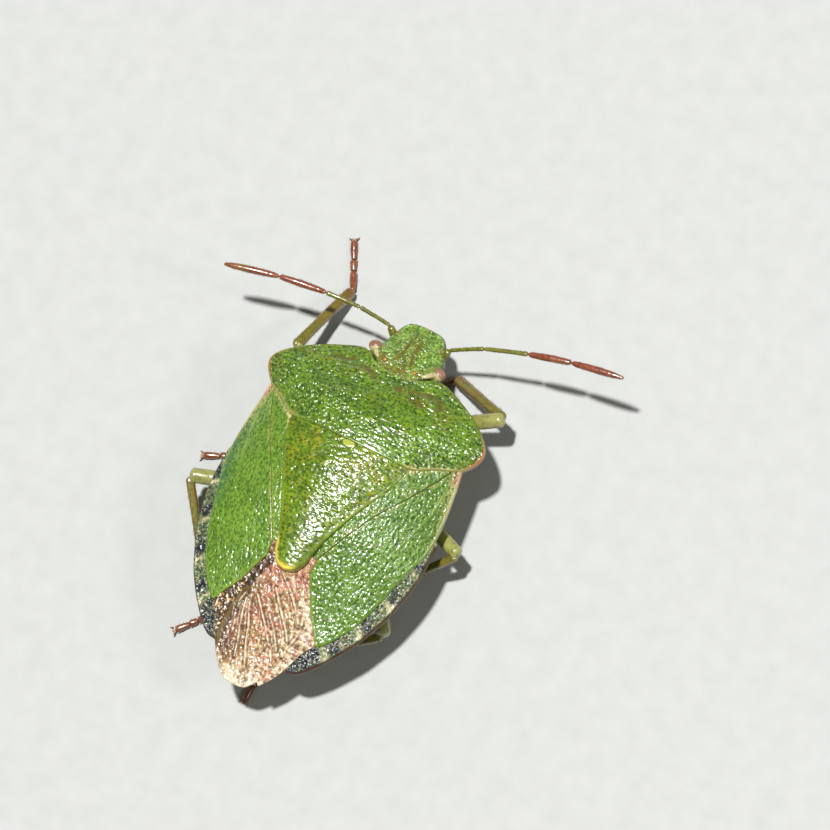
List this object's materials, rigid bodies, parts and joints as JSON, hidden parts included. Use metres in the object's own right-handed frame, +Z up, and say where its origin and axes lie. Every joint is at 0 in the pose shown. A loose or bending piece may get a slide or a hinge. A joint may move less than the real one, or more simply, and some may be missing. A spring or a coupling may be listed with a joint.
{
  "type": "green shield bug",
  "caption": "Life-size still model of an adult green shield bug, standing, with folded wings, spread feelers and feet flat on the floor.",
  "frame": {"origin": "middle of the floor under the whole animal, feet on z = 0", "axes": "-Y is the way the head points, +X is the insect's left, +Z is up"},
  "size_m": [0.0136, 0.015, 0.0046],
  "materials": {
    "shell_green": "Green, coarsely pitted cuticle with a soft shine",
    "shield_green": "Yellow-green pitted cuticle, cross-wrinkled, with a soft shine",
    "belly_green": "Pale green smooth cuticle",
    "margin_bronze": "Dark bronze-green pitted cuticle with cream bars at the segment joints",
    "wing_bronze": "Coppery brown, veined, shiny wing skin",
    "eye_brown": "Red-brown faceted eye with a pale rim",
    "leg_olive": "Olive cuticle, finely pitted and hairy",
    "foot_red": "Red-brown cuticle with fine hairs",
    "feeler_red": "Red-brown cuticle with a fine pile of hairs"
  },
  "bodies": {
    "root": {"head": "shell_green", "eye_left": "eye_brown", "eye_right": "eye_brown", "antenna_left_1": "leg_olive", "antenna_left_2": "leg_olive", "antenna_left_3": "leg_olive", "antenna_left_4": "feeler_red", "antenna_left_5": "feeler_red", "antenna_right_1": "leg_olive", "antenna_right_2": "leg_olive", "antenna_right_3": "leg_olive", "antenna_right_4": "feeler_red", "antenna_right_5": "feeler_red", "rostrum": "leg_olive", "pronotum": "shell_green", "scutellum": "shield_green", "clavus_left": "shell_green", "corium_left": "shell_green", "membrane_left": "wing_bronze", "connexivum_left": "margin_bronze", "clavus_right": "shell_green", "corium_right": "shell_green", "membrane_right": "wing_bronze", "connexivum_right": "margin_bronze", "prothorax": "belly_green", "pterothorax": "belly_green", "abdomen": "belly_green", "coxa_fore_left": "leg_olive", "femur_fore_left": "leg_olive", "tibia_fore_left": "leg_olive", "tarsus_fore_left": "foot_red", "coxa_fore_right": "leg_olive", "femur_fore_right": "leg_olive", "tibia_fore_right": "leg_olive", "tarsus_fore_right": "foot_red", "coxa_mid_left": "leg_olive", "femur_mid_left": "leg_olive", "tibia_mid_left": "leg_olive", "tarsus_mid_left": "foot_red", "coxa_mid_right": "leg_olive", "femur_mid_right": "leg_olive", "tibia_mid_right": "leg_olive", "tarsus_mid_right": "foot_red", "coxa_hind_left": "leg_olive", "femur_hind_left": "leg_olive", "tibia_hind_left": "leg_olive", "tarsus_hind_left": "foot_red", "coxa_hind_right": "leg_olive", "femur_hind_right": "leg_olive", "tibia_hind_right": "leg_olive", "tarsus_hind_right": "foot_red"}
  },
  "joints": []
}
